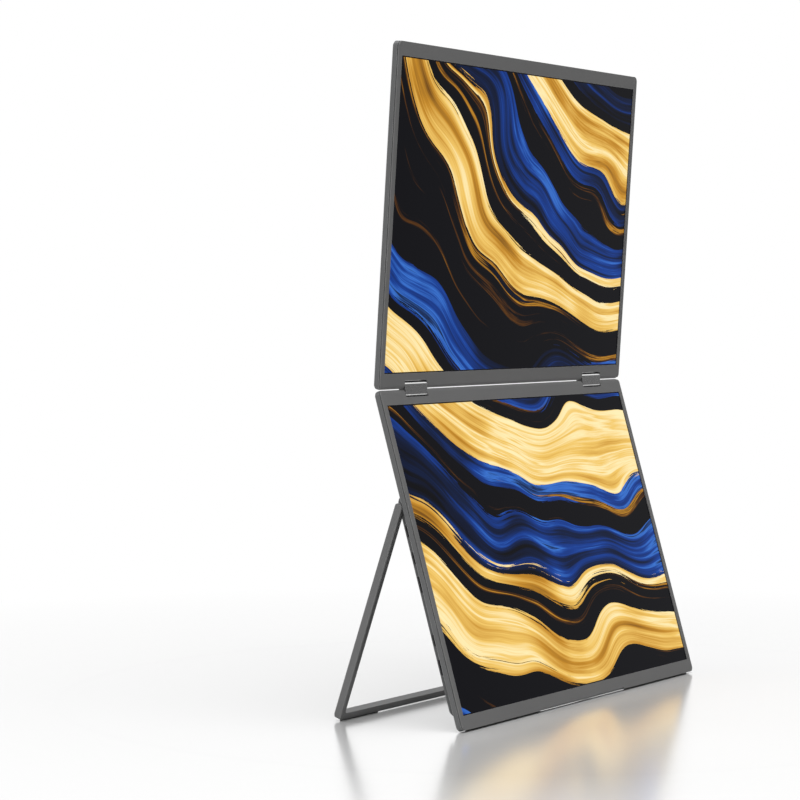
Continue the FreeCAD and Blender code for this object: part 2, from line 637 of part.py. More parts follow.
def board_chips():
    """Square packages on the main board: inward from its outer end, level, side and height."""
    chips = []
    for name, inward, z, side, high in CHIPS:
        x = f"(-{COVER_INSIDE} + {inward})"
        chips.append(box(name, (f"{x} - {side / 2}", f"{x} + {side / 2}"),
                         (BOARD_TOP, f"{BOARD_TOP} + {high}"), (f"{z} - {side / 2}", f"{z} + {side / 2}")))
    return group("chip_set", *chips)


def button_board():
    """Small board with a switch behind each button."""
    x_end = f"({COVER_INSIDE} - fit_gap - 2 * button_flange)"
    high = f"({COVER_TOP} - power_place + power_wide)"
    solids = [box("key_board_sheet", (f"{x_end} - key_board_width", x_end), (BACK, BOARD_TOP),
                  (f"{high} - key_board_height", high))]
    for name, kind, z in BUTTONS:
        stop = f"({COVER_INSIDE} - fit_gap - button_flange - button_travel - fit_gap)"
        solids.append(box("switch_" + kind, (f"{stop} - switch_length", stop),
                          (BOARD_TOP, f"{BOARD_TOP} + usb_tall"),
                          (f"{z} - switch_width / 2", f"{z} + switch_width / 2")))
    return fuse("key_board", *solids)


def strip_span(side):
    return stand_span(side, "width / 2 - strip_inset - strip_width", "width / 2 - strip_inset")


def strip_grooves(gap, floor):
    return [box(f"strip{floor[:3]}_{word}", strip_span(side),
                (f"-strip_front - {gap}", f"strip_back + {gap}"), (floor, FAR_EDGE + " + strip_seat"))
            for word, side in SIDES.items()]


def lean(degrees):
    """Turn about X that lets the top lean back."""
    return Rotation(Vector(1, 0, 0), -degrees)


def on_floor(name, frame):
    """Everything below the floor, in the frame of a piece that stands on it."""
    reach = 2 * size("width")
    ground = doc.addObject("Part::Box", name)
    ground.Length, ground.Width, ground.Height = reach, reach, reach
    corner = Vector(-reach / 2, -reach / 2, floor_level - reach)
    ground.Placement = frame.inverse() * Placement(corner, Rotation())
    return ground


def kickstand_frame():
    """U of two legs and a crossbar, with leg tops rounded about the pivot."""
    outer = plate("stand_outer", "width / 2", (f"-{STAND_REACH}", "stand_bar"),
                  ("-stand_depth / 2", "stand_depth / 2"), "corner_radius", "stand_chamfer", "stand_chamfer")
    inner = plate("stand_inner", "width / 2 - stand_bar", (f"-{STAND_REACH} + stand_bar", "3 * stand_bar"),
                  ("-stand_depth", "stand_depth"), "stand_inner_corner")
    across = ("-width / 2 - overcut", "width / 2 + overcut")
    form = fuse("stand_form", rod("stand_tops", "x", "stand_depth / 2", across, ("0", "0")),
                box("stand_slab", across, ("-stand_depth", "stand_depth"), (f"-2 * {STAND_REACH}", "0")))
    holes = []
    for word, side in SIDES.items():
        span = stand_span(side, "width / 2 - stand_bar - overcut", "width / 2 - stand_bar + stand_pin_seat")
        holes.append(rod("stand_hole_" + word, "x", "stand_pin_radius + seat_gap", span, ("0", "0")))
    return cut("stand", common("stand_bars", outer, form), inner, *holes)


def kickstand_pins():
    inner = f"({COVER_INSIDE} - bracket_width)"
    outer = "(width / 2 - stand_bar + stand_pin_seat)"
    pins = [rod("stand_pin_" + word, "x", "stand_pin_radius", stand_span(side, inner, outer), ("0", "0"))
            for word, side in SIDES.items()]
    return group("stand_pin_set", *pins)


def kickstand_pads():
    """Rubber wedges under both ends of the crossbar, flat on the floor."""
    inner, outer = "width / 2 - pad_inset - pad_length", "width / 2 - pad_inset"
    pads = [box("stand_pad_" + word, stand_span(side, inner, outer),
                ("-stand_depth / 2 + pad_edge", "stand_depth / 2 - pad_edge"),
                (f"-{STAND_REACH} - stand_bar", f"-{STAND_REACH}"))
            for word, side in SIDES.items()]
    return cut("stand_pads", fuse("stand_pad_pair", *pads), on_floor("stand_floor", frames["stand"]))


# Places at rest, from the lower hinge axis: the lower screen and the kickstand share the load.
lower_lean, upper_lean = size("lower_lean_angle"), -size("upper_lean_angle")
frames = {"lower": Placement(Vector(), lean(lower_lean)),
          "link": Placement(Vector(), lean((lower_lean + upper_lean) / 2))}
upper_axis = frames["link"].multVec(Vector(0, 0, size("axis_spacing")))
frames["upper"] = Placement(upper_axis, lean(upper_lean) * Rotation(Vector(0, 1, 0), 180))

strip_edge = Vector(0, size("strip_back"), size("thickness") / 2 - size("height") - size("strip_proud"))
floor_level = frames["lower"].multVec(strip_edge).z + size("strip_flat")
pivot = frames["lower"].multVec(Vector(0, (size("thickness") + size("fit_gap") + size("stand_depth")) / 2,
                                       size("thickness") / 2 - size("cover_top") - size("pivot_drop")))
drop = pivot.z - floor_level - size("pad_least")
half_depth = size("stand_depth") / 2
stand_reach = size("height") - size("cover_top") - size("pivot_drop")
stand_tilt = math.degrees(math.acos(drop / math.hypot(stand_reach, half_depth))
                          + math.atan(half_depth / stand_reach))
frames["stand"] = Placement(pivot, lean(-stand_tilt))

# The two screens.
grip = [finger_notch("grip")]
screw_seats = [cover_screw(f"seat_{mark}", x, z, "pin_gap") for mark, x, z in boss_places()]
grooves = strip_grooves("fit_gap", FAR_EDGE + " - overcut")
build_screen("lower", grip + screw_seats + grooves, grip + grooves, grip)
build_screen("upper", (), (), ())

# What the lower screen carries besides.
node("electronics_cover", electronics_cover(), "lower")
node("cover_screws", cover_screws(), "lower")
node("main_board", main_board(), "lower")
node("board_chips", board_chips(), "lower")
node("button_board", button_board(), "lower")
for kind, name in (("usb", "usb_c_ports"), ("video", "mini_video_ports")):
    shells = [port_shell("port_" + word, z, own) for word, own, z in PORTS if own == kind]
    node(name, group(kind + "_set", *shells), "lower")
for name, kind, z in BUTTONS:
    node(name, push_button("cap_" + kind, kind, z), "lower")
strips = strip_grooves("0", FAR_EDGE + " - strip_proud")
strip_pair = cut("strip_pair", fuse("strip_blocks", *strips), on_floor("strip_floor", frames["lower"]))
node("edge_strips", strip_pair, "lower")
node("stand_brackets", stand_brackets(), "lower")
node("stand_washers", stand_washers(), "lower")

build_links()
node("kickstand_frame", kickstand_frame(), "stand")
node("kickstand_pins", kickstand_pins(), "stand")
node("kickstand_pads", kickstand_pads(), "stand")
doc.recompute()

# Set every piece in its frame, then centre the footprint on the origin.
for solid, frame in nodes.values():
    solid.Placement = frames[frame] * solid.Placement
doc.recompute()
room = FreeCAD.BoundBox()
for solid, frame in nodes.values():
    room.add(solid.Shape.optimalBoundingBox(False, False))
shift = Vector(-(room.XMin + room.XMax) / 2, -(room.YMin + room.YMax) / 2, -floor_level)
for solid, frame in nodes.values():
    solid.Placement = Placement(shift, Rotation()) * solid.Placement
doc.recompute()

for item in doc.Objects:
    if "Invalid" in item.State or "Error" in item.State:
        raise RuntimeError(f"{item.Label} did not build: {item.State}")
for name, (solid, frame) in nodes.items():
    if solid.Shape.isNull() or not solid.Shape.isValid() or not solid.Shape.Solids:
        raise RuntimeError(f"{name} is not a valid solid")
    solid.Shape.exportStep(f"parts/{name}.step")

for name in ("lower", "upper", "stand"):
    axis = frames[name].Base + shift
    print(f"{name} axis at y {axis.y:.4f} z {axis.z:.4f}")
print(f"kickstand tilt {stand_tilt:.3f}, opening {stand_tilt + lower_lean:.3f}")
print(f"size {room.XLength:.2f} x {room.YLength:.2f} x {room.ZLength:.2f}")
print(f"lowest {room.ZMin - floor_level:.4f}")
print(f"{len(nodes)} nodes, {sum(len(solid.Shape.Solids) for solid, frame in nodes.values())} solids")
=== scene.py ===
import itertools
import json
import math

import bpy
from mathutils import Matrix, Vector


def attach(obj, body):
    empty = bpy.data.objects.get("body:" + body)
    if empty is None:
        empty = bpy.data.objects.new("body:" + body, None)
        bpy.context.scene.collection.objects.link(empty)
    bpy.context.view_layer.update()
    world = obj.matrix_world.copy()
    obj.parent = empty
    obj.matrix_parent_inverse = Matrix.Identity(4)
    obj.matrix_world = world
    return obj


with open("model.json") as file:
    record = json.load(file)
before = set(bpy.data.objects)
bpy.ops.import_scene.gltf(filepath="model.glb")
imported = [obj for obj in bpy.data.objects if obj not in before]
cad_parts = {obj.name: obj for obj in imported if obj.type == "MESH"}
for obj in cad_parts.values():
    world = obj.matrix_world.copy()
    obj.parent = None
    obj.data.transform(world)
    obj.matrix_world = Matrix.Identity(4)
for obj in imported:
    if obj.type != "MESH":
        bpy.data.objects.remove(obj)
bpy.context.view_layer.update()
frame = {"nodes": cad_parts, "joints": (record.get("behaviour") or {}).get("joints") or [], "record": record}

nodes = frame["nodes"]
joints = {joint["name"]: joint for joint in frame["joints"]}
slots = {part["node"]: part["material_slot"] for part in frame["record"]["subparts"]}

# The photograph's view, solved from the corners of both screens.
FRAME_PIXELS = 800
SENSOR = 36.0
FOCAL_PIXELS = 2732.0
VIEW_AZIMUTH = math.radians(-58.35)
VIEW_ELEVATION = math.radians(2.01)
VIEW_DISTANCE = 1.8465
VIEW_TARGET = Vector((-0.1730, 0.0, 0.2216))

# How far each screen leans back at rest, as the solids stand.
LOWER_LEAN = math.radians(16.2)
UPPER_LEAN = math.radians(-3.8)

# The display runs on under the bezel by its lap, and then comes its unlit rim.
RIM_UNDER_BEZEL = 0.0014 + 0.0008

# The painted highlight line near both ends of the hinge covers, standing in for light caught by their edges:
# how far in its middle is, its height, how much of that it takes to set in, and its grey.
LIP_INSET = 0.0016
LIP_HEIGHT = 0.0010
LIP_BLUR = 0.0001
LIP_HIGHLIGHT_TONE = 0.76

# Wear and painted highlight along the metal's edges: how far they reach, and how fast they come.
WEAR_AND_HIGHLIGHT_REACH = 0.0005
WEAR_AND_HIGHLIGHT_GAIN = 3.0

# The colour sockets of a Mix node, and the span that a noise mostly keeps to.
MIX_SHARE, MIX_ONE, MIX_OTHER, MIX_RESULT = 0, 6, 7, 2
NOISE_SPAN = (0.3, 0.7)

MASK_GREEN = (0.008, 0.10, 0.035, 1.0)
TRACK_GREEN = (0.02, 0.22, 0.08, 1.0)

# A cover screw's pan head as (radius, height) from below to its top, its cross recess, and how the recess
# turns from screw to screw.
HEAD_OUTLINE = ((0.0, 0.0), (0.00152, 0.0), (0.00150, 0.00010), (0.00125, 0.00022), (0.0007, 0.00028),
                (0.0, 0.0003))
RECESS_ARM = 0.00092
RECESS_HALF = 0.00021
RECESS_FLOOR = 0.00006
ABOVE_HEAD = 0.001
FIRST_TURN = 0.35
NEXT_TURN = 0.8

# The contact strips on each face of a USB-C tongue: where they begin and end behind the mouth, and how far
# their two faces are from the tongue's middle.
CONTACTS = 8
CONTACT_PITCH = 0.0006
CONTACT_EDGES = (-0.00016, 0.00016)
CONTACT_ENDS = (0.0006, 0.0044)
CONTACT_FACES = (0.00029, 0.00033)

SHARP_ANGLE = math.radians(30)
BOX_FACES = ((0, 1, 3, 2), (4, 6, 7, 5), (0, 4, 5, 1), (2, 3, 7, 6), (0, 2, 6, 4), (1, 5, 7, 3))

WHITE = (1.0, 1.0, 1.0, 1.0)
AMBIENT = 0.20
FLOOR_RADIUS = 9.0
FLOOR_SIDES = 96

# Distances from the middle between which the floor goes over to plain white.
FLOOR_KEEPS_SHADOW = 0.34
FLOOR_FADES_OUT = 0.78

# The floor's colour where it is seen and where it throws light on the object, and how much of it is mirror.
FLOOR_AS_SEEN = 0.78
FLOOR_AS_LAMP = 0.56
FLOOR_MIRRORS = 0.4


def grey(level, tint=0.0):
    """Linear grey, a little towards blue."""
    return (level * (1 - tint), level, level * (1 + tint), 1.0)


def scaled(colour, factor):
    return tuple(part * factor for part in colour[:3]) + (1.0,)


class Graph:
    """Short names for the nodes of one material."""

    def __init__(self, name):
        self.material = bpy.data.materials.new(name)
        self.material.use_nodes = True
        self.tree = self.material.node_tree
        self.shader = self.tree.nodes["Principled BSDF"]
        self.output = self.tree.nodes["Material Output"]

    def add(self, kind, **settings):
        item = self.tree.nodes.new("ShaderNode" + kind)
        for name, setting in settings.items():
            setattr(item, name, setting)
        return item

    def put(self, socket, value):
        """Links an output to a socket, or sets the socket's own value."""
        if isinstance(value, bpy.types.NodeSocket):
            self.tree.links.new(value, socket)
        else:
            socket.default_value = value

    def math(self, operation, *values, clamp=False):
        item = self.add("Math", operation=operation, use_clamp=clamp)
        for socket, value in zip(item.inputs, values):
            self.put(socket, value)
        return item.outputs[0]

    def vector_math(self, operation, *values):
        item = self.add("VectorMath", operation=operation)
        for socket, value in zip(item.inputs, values):
            self.put(socket, value)
        return item.outputs["Value" if operation in ("DOT_PRODUCT", "LENGTH") else "Vector"]

    def mix(self, share, one, other, blend="MIX"):
        item = self.add("Mix", data_type="RGBA", blend_type=blend)
        self.put(item.inputs[MIX_SHARE], share)
        self.put(item.inputs[MIX_ONE], one)
        self.put(item.inputs[MIX_OTHER], other)
        return item.outputs[MIX_RESULT]

    def noise(self, scale, detail=2.0, roughness=0.5, vector=None, distortion=0.0):
        item = self.add("TexNoise")
        self.put(item.inputs["Vector"], vector or self.place())
        item.inputs["Scale"].default_value = scale
        item.inputs["Detail"].default_value = detail
        item.inputs["Roughness"].default_value = roughness
        item.inputs["Distortion"].default_value = distortion
        return item.outputs["Fac"]

    def place(self):
        """Position on the piece, which stays with it in every pose."""
        return self.add("TexCoord").outputs["Object"]

    def ramp(self, value, stops, interpolation="LINEAR"):
        item = self.add("ValToRGB")
        item.color_ramp.interpolation = interpolation
        elements = item.color_ramp.elements
        while len(elements) < len(stops):
            elements.new(0.5)
        for element, (place, colour) in zip(elements, stops):
            element.position = place
            element.color = colour
        self.put(item.inputs[0], value)
        return item.outputs[0]

    def range(self, value, low, high, to_low, to_high):
        item = self.add("MapRange")
        for socket, number in zip(item.inputs, (value, low, high, to_low, to_high)):
            self.put(socket, number)
        return item.outputs[0]

    def full_range(self, noise, low=0.0, high=1.0):
        """Spreads a noise's usual span over low to high."""
        return self.range(noise, *NOISE_SPAN, low, high)

    def varied(self, noise, colour, factor):
        """The colour, going over by a noise to itself times the factor."""
        return self.mix(self.full_range(noise), colour, scaled(colour, factor))

    def edges(self, radius, strength):
        """1 along the piece's sharp edges, 0 on its faces."""
        bevel = self.add("Bevel", samples=4)
        bevel.inputs["Radius"].default_value = radius
        normal = self.add("NewGeometry").outputs["Normal"]
        facing = self.vector_math("DOT_PRODUCT", bevel.outputs["Normal"], normal)
        return self.math("MULTIPLY", self.math("SUBTRACT", 1.0, facing), strength, clamp=True)

    def bump(self, height, distance, strength=1.0):
        item = self.add("Bump")
        item.inputs["Strength"].default_value = strength
        item.inputs["Distance"].default_value = distance
        self.put(item.inputs["Height"], height)
        self.put(self.shader.inputs["Normal"], item.outputs[0])


def blasted_metal(name, colour, roughness, worn_and_highlit, metallic, specular=0.22, lips=None):
    """Bead-blasted, anodised aluminium, its edges painted a little lighter as wear and highlight, with
    painted highlight lines at its lips.
    """
    graph = Graph(name)
    grain = graph.noise(1900.0, 3.0, 0.6)
    cloud = graph.noise(14.0, 3.0, 0.55)
    patches = graph.range(graph.noise(90.0, 4.0), 0.35, 0.65, 0.35, 1.0)
    # Painted edge highlight: the sharp edges turn lighter, partly as wear and partly as light caught by the
    # edges.
    rubbed_and_highlit = graph.math("MULTIPLY", graph.edges(WEAR_AND_HIGHLIGHT_REACH, WEAR_AND_HIGHLIGHT_GAIN), patches)
    finish_and_highlight = graph.mix(rubbed_and_highlit, graph.varied(cloud, colour, 1.10), worn_and_highlit)
    if lips:
        split = graph.add("SeparateXYZ")
        graph.put(split.inputs[0], graph.place())
        from_lip = graph.math("MINIMUM", graph.math("SUBTRACT", split.outputs[2], lips[0]),
                              graph.math("SUBTRACT", lips[1], split.outputs[2]))
        off_line = graph.math("ABSOLUTE", graph.math("SUBTRACT", from_lip, LIP_INSET))
        # Painted highlight: a light, fully metallic line near each end, where a rounded edge would catch the
        # light.
        painted_highlight = graph.range(off_line, LIP_HEIGHT / 2, LIP_HEIGHT / 2 - LIP_BLUR, 0.0, 1.0)
        finish_and_highlight = graph.mix(painted_highlight, finish_and_highlight, grey(LIP_HIGHLIGHT_TONE))
        graph.put(graph.shader.inputs["Metallic"], graph.range(painted_highlight, 0.0, 1.0, metallic, 1.0))
    else:
        graph.shader.inputs["Metallic"].default_value = metallic
    graph.put(graph.shader.inputs["Base Color"], finish_and_highlight)
    graph.shader.inputs["Specular IOR Level"].default_value = specular
    spread = graph.full_range(cloud, roughness - 0.03, roughness + 0.04)
    spread = graph.math("ADD", spread, graph.full_range(grain, -0.03, 0.03))
    graph.put(graph.shader.inputs["Roughness"], spread)
    graph.bump(grain, 0.000012, 0.6)
    return graph.material


def moulded(name, colour, roughness, grain_size=0.0006, depth=0.00001):
    """Moulded plastic or rubber with a fine grain."""
    graph = Graph(name)
    grain = graph.noise(1.0 / grain_size, 3.0, 0.6)
    cloud = graph.noise(22.0, 3.0)
    graph.put(graph.shader.inputs["Base Color"], graph.varied(cloud, colour, 1.15))
    graph.put(graph.shader.inputs["Roughness"], graph.full_range(cloud, roughness - 0.04, roughness + 0.05))
    graph.bump(grain, depth, 0.7)
    return graph.material


def brushed(name, colour, roughness):
    """Brushed metal with strokes along X."""
    graph = Graph(name)
    stretched = graph.add("Mapping")
    graph.put(stretched.inputs["Vector"], graph.place())
    stretched.inputs["Scale"].default_value = (60.0, 4000.0, 4000.0)
    strokes = graph.noise(1.0, 2.0, 0.6, stretched.outputs[0])
    graph.put(graph.shader.inputs["Base Color"], graph.varied(strokes, colour, 1.25))
    graph.shader.inputs["Metallic"].default_value = 1.0
    graph.put(graph.shader.inputs["Roughness"], graph.full_range(strokes, roughness - 0.05, roughness + 0.08))
    graph.bump(strokes, 0.000006, 0.5)
    return graph.material


def circuit(name):
    """Green solder mask over faint copper tracks."""
    graph = Graph(name)
    checks = graph.add("TexBrick", offset=0.5)
    graph.put(checks.inputs["Vector"], graph.place())
    checks.inputs["Scale"].default_value = 160.0
    checks.inputs["Mortar Size"].default_value = 0.04
    tracks = graph.mix(graph.noise(120.0, 2.0), grey(0.0), checks.outputs["Color"])
    graph.put(graph.shader.inputs["Base Color"], graph.mix(tracks, MASK_GREEN, TRACK_GREEN))
    graph.shader.inputs["Roughness"].default_value = 0.35
    graph.bump(checks.outputs["Fac"], 0.00003, 0.4)
    return graph.material


# Colours of the generic picture.
BLACK = (0.002, 0.002, 0.004, 1.0)
NIGHT = (0.003, 0.010, 0.045, 1.0)
ROYAL = (0.006, 0.045, 0.28, 1.0)
SKY = (0.04, 0.17, 0.62, 1.0)
UMBER = (0.10, 0.035, 0.004, 1.0)
AMBER = (0.55, 0.25, 0.02, 1.0)
GOLD = (0.87, 0.56, 0.13, 1.0)
CREAM = (1.0, 0.84, 0.46, 1.0)

GOLD_TONES = ((0.18, UMBER), (0.38, AMBER), (0.52, GOLD), (0.62, CREAM), (0.68, GOLD), (0.82, CREAM))
BLUE_TONES = ((0.26, BLACK), (0.42, NIGHT), (0.56, ROYAL), (0.64, SKY), (0.69, NIGHT), (0.84, SKY))
DARK_TONES = ((0.00, BLACK), (0.575, BLACK), (0.61, UMBER), (0.64, AMBER), (0.67, BLACK), (0.80, NIGHT))

# Which tones a ribbon takes, across one repeat: red for gold, blue for blue, black for dark.
RED = (1.0, 0.0, 0.0, 1.0)
BLUE = (0.0, 0.0, 1.0, 1.0)
NONE = (0.0, 0.0, 0.0, 1.0)
RIBBONS = ((0.00, NONE), (0.13, BLUE), (0.24, NONE), (0.29, RED), (0.47, BLUE), (0.53, NONE),
           (0.60, BLUE), (0.72, RED), (0.76, NONE), (0.84, RED), (0.97, NONE))

# The ribbons turn round the centre. They repeat along the way out from it and round it, and hold finer
# strands, whose fringe frays each ribbon's edge.
RIBBON_CENTRE = (0.36, 0.30, 0.0)
RIBBON_SWAY = (0.15, 0.15, 0.0)
REPEATS_OUT = 3.3
REPEATS_ROUND = 0.95
STRANDS_ACROSS = 21.0
STRANDS_OUT = 3.6
FRINGE = 0.16
STRAND_SHARE = 0.62
BODY_SHARE = 0.38


def poured_ribbons(graph, across, along):
    """Generic picture: gold, blue and black ribbons of fine strands that sweep round a far centre."""
    join = graph.add("CombineXYZ")
    graph.put(join.inputs[0], across)
    graph.put(join.inputs[1], along)
    flat = join.outputs[0]
    sway = graph.add("TexNoise")
    graph.put(sway.inputs["Vector"], flat)
    sway.inputs["Scale"].default_value = 5.2
    sway.inputs["Detail"].default_value = 1.5
    shift = graph.vector_math("SUBTRACT", sway.outputs["Color"], (0.5, 0.5, 0.5))
    swayed = graph.add("VectorMath", operation="MULTIPLY_ADD")
    graph.put(swayed.inputs[0], shift)
    graph.put(swayed.inputs[1], RIBBON_SWAY)
    graph.put(swayed.inputs[2], flat)
    offset = graph.vector_math("SUBTRACT", swayed.outputs[0], RIBBON_CENTRE)
    split = graph.add("SeparateXYZ")
    graph.put(split.inputs[0], offset)
    reach = graph.vector_math("LENGTH", offset)
    turn = graph.math("ARCTAN2", split.outputs[1], split.outputs[0])
    fan = graph.math("MULTIPLY", turn, REPEATS_ROUND)
    wave = graph.math("ADD", graph.math("MULTIPLY", reach, REPEATS_OUT), fan)
    strand_place = graph.add("CombineXYZ")
    graph.put(strand_place.inputs[0], graph.math("MULTIPLY", wave, STRANDS_ACROSS))
    graph.put(strand_place.inputs[1], graph.math("MULTIPLY", reach, STRANDS_OUT))
    strands = graph.noise(1.0, 7.0, 0.66, strand_place.outputs[0], 0.25)
    body = graph.noise(7.5, 2.0, 0.5, swayed.outputs[0])
    fringe = graph.math("MULTIPLY", graph.math("SUBTRACT", strands, 0.5), FRINGE)
    frayed = graph.math("ADD", wave, fringe)
    which = graph.add("SeparateColor")
    graph.put(which.inputs[0], graph.ramp(graph.math("FRACT", frayed), RIBBONS, "CONSTANT"))
    tone = graph.math("ADD", graph.math("MULTIPLY", strands, STRAND_SHARE),
                      graph.math("MULTIPLY", body, BODY_SHARE))
    gold = graph.ramp(graph.range(tone, 0.32, 0.68, 0.16, 0.92), GOLD_TONES)
    blue = graph.ramp(graph.range(tone, 0.32, 0.70, 0.10, 0.90), BLUE_TONES)
    dark = graph.ramp(strands, DARK_TONES)
    return graph.mix(which.outputs[0], graph.mix(which.outputs[2], dark, blue), gold)


def display(name, joint, lean, cell):
    """Lit display behind smooth glass. Its picture is measured from the joint's axis, so that it runs on
    from one screen to the other, and ends in a black rim."""
    graph = Graph(name)
    axis = Vector(joints[joint]["pos_m"])
    up = Vector((0.0, math.sin(lean), math.cos(lean)))
    from_axis = graph.vector_math("SUBTRACT", graph.place(), tuple(axis))
    along = graph.vector_math("DOT_PRODUCT", from_axis, tuple(up))
    across = graph.vector_math("DOT_PRODUCT", from_axis, (1.0, 0.0, 0.0))
    corners = [(vertex.co - axis).dot(up) for vertex in nodes[cell].data.vertices]
    middle = (min(corners) + max(corners)) / 2
    half_tall = (max(corners) - min(corners)) / 2 - RIM_UNDER_BEZEL
    half_wide = max(vertex.co.x for vertex in nodes[cell].data.vertices) - RIM_UNDER_BEZEL
    from_side = graph.math("SUBTRACT", half_wide, graph.math("ABSOLUTE", across))
    off_middle = graph.math("ABSOLUTE", graph.math("SUBTRACT", along, middle))
    from_level = graph.math("SUBTRACT", half_tall, off_middle)
    lit = graph.math("GREATER_THAN", graph.math("MINIMUM", from_side, from_level), 0.0)
    picture = graph.mix(lit, BLACK, poured_ribbons(graph, across, along))
    graph.put(graph.shader.inputs["Base Color"], graph.mix(1.0, picture, grey(0.06), "MULTIPLY"))
    graph.put(graph.shader.inputs["Emission Color"], picture)
    graph.shader.inputs["Emission Strength"].default_value = 0.98
    graph.put(graph.shader.inputs["Roughness"], graph.full_range(graph.noise(40.0, 3.0), 0.10, 0.15))
    graph.shader.inputs["Specular IOR Level"].default_value = 0.02
    graph.bump(graph.noise(3000.0, 2.0), 0.000001, 0.2)
    return graph.material


def heights(name):
    """Lowest and highest point of a node."""
    levels = [vertex.co.z for vertex in nodes[name].data.vertices]
    return min(levels), max(levels)


def make_materials():
    return {
        # The lighter edge colours below paint wear together with a highlight on the edges.
        "housing": blasted_metal("dark_anodised", grey(0.105, 0.01), 0.36, grey(0.40), 0.25),
        "cover": blasted_metal("cover_anodised", grey(0.075, 0.01), 0.42, grey(0.26), 0.25),
        "stand": blasted_metal("stand_anodised", grey(0.125, 0.0), 0.36, grey(0.42), 0.25),
        # Hinge covers: painted highlight lines near their ends, and a lighter painted highlight on their
        # edges.
        "hinge_cover": blasted_metal("hinge_anodised", grey(0.085, 0.0), 0.28, grey(0.50), 0.55,
                                     lips=heights("hinge_cover_left")),
        "button": blasted_metal("button_anodised", grey(0.12, 0.01), 0.32, grey(0.3), 0.3),
        "bezel": blasted_metal("bezel_coat", grey(0.115, 0.0), 0.50, grey(0.26), 0.0, 0.10),
        "seam": moulded("seam_black", grey(0.004), 0.5),
        "upper_display": display("upper_picture", "hinge_upper", UPPER_LEAN, "upper_display_cell"),
        "lower_display": display("lower_picture", "hinge_lower", LOWER_LEAN, "lower_display_cell"),
        "light_guide": moulded("milky_sheet", grey(0.75), 0.4),
        "sheet_metal": brushed("plain_sheet", grey(0.50), 0.35),
        "circuit_board": circuit("solder_mask"),
        "steel": brushed("brushed_steel", grey(0.48), 0.28),
        # Painted shade: the port shells are dark so that the port openings read as shaded.
        "port_shell": brushed("port_metal_painted_shade", grey(0.10), 0.42),
        "dark_screw": brushed("black_steel", grey(0.06), 0.38),
        "chip": moulded("chip_black", grey(0.012), 0.45),
        "rubber": moulded("soft_rubber", grey(0.018), 0.75, 0.0009, 0.00004),
        "washer": moulded("slide_plastic", grey(0.03), 0.5),
        "gold": brushed("gold_plate", (0.72, 0.46, 0.14, 1.0), 0.3),
    }


def dress_nodes(materials):
    for name, piece in nodes.items():
        for slot in piece.material_slots:
            # Ports get the dark metal that paints the shade inside their openings.
            slot.material = materials["port_shell" if name.endswith("_ports") else slots[name]]
        for face in piece.data.polygons:
            face.use_smooth = True
        piece.data.set_sharp_from_angle(angle=SHARP_ANGLE)


def plain_object(name, vertices, faces):
    mesh = bpy.data.meshes.new(name)
    mesh.from_pydata(vertices, [], faces)
    thing = bpy.data.objects.new(name, mesh)
    bpy.context.scene.collection.objects.link(thing)
    return thing


def turned(name, outline, sides=40):
    """Closed form turned about Z from (radius, height) pairs, listed from the bottom to the top."""
    rings = [(radius, height) for radius, height in outline if radius > 0]
    turns = [2 * math.pi * side / sides for side in range(sides)]
    vertices = [(radius * math.cos(turn), radius * math.sin(turn), height)
                for radius, height in rings for turn in turns]
    faces = []
    for ring in range(len(rings) - 1):
        for side in range(sides):
            here, there = ring * sides + side, ring * sides + (side + 1) % sides
            faces.append((here, there, there + sides, here + sides))
    faces.append(tuple(range(sides))[::-1])
    faces.append(tuple((len(rings) - 1) * sides + side for side in range(sides)))
    return plain_object(name, vertices, faces)


def block(name, low, high):
    corners = [(x, y, z) for x in (low[0], high[0]) for y in (low[1], high[1]) for z in (low[2], high[2])]
    return plain_object(name, corners, BOX_FACES)


def carve(thing, cutters):
    """Cuts the cutters out of a piece for good."""
    for cutter in cutters:
        modifier = thing.modifiers.new("carve", "BOOLEAN")
        modifier.operation = "DIFFERENCE"
        modifier.solver = "EXACT"
        modifier.object = cutter
        carved = thing.evaluated_get(bpy.context.evaluated_depsgraph_get())
        done = bpy.data.meshes.new_from_object(carved)
        thing.modifiers.remove(modifier)
        thing.data = done
        bpy.data.objects.remove(cutter)


def islands(mesh):
    """Points of each loose part, with corners that several faces share counted once."""
    places = {}
    owner = [places.setdefault(tuple(round(part, 6) for part in vertex.co), vertex.index)
             for vertex in mesh.vertices]
    group = list(range(len(mesh.vertices)))

    def root(item):
        while group[item] != item:
            group[item] = group[group[item]]
            item = group[item]
        return item

    for edge in mesh.edges:
        group[root(owner[edge.vertices[0]])] = root(owner[edge.vertices[1]])
    parts = {}
    for vertex in mesh.vertices:
        parts.setdefault(root(owner[vertex.index]), []).append(vertex.co)
    return list(parts.values())


def make_cover_screws(material):
    """Pan heads with a cross recess on the cover's screws, square to the cover."""
    lean = Matrix.Rotation(-LOWER_LEAN, 3, "X") @ Matrix.Rotation(-math.pi / 2, 3, "X")
    outward = lean @ Vector((0.0, 0.0, 1.0))
    for number, points in enumerate(islands(nodes["cover_screws"].data)):
        reach = max(point.dot(outward) for point in points)
        rim = [point for point in points if point.dot(outward) > reach - 0.00001]
        top = sum(rim, Vector()) / len(rim)
        head = turned(f"cover_screw_head_{number}", HEAD_OUTLINE)
        carve(head, [block("recess", (-along, -across, RECESS_FLOOR), (along, across, ABOVE_HEAD))
                     for along, across in ((RECESS_ARM, RECESS_HALF), (RECESS_HALF, RECESS_ARM))])
        head.data.materials.clear()
        head.data.materials.append(material)
        turn = Matrix.Rotation(FIRST_TURN + NEXT_TURN * number, 4, "Z")
        head.data.transform(Matrix.Translation(top) @ lean.to_4x4() @ turn)
        head.data.set_sharp_from_angle(angle=SHARP_ANGLE)
        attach(head, "lower_screen")


def middle_along(points, direction):
    levels = [point.dot(direction) for point in points]
    return (max(levels) + min(levels)) / 2


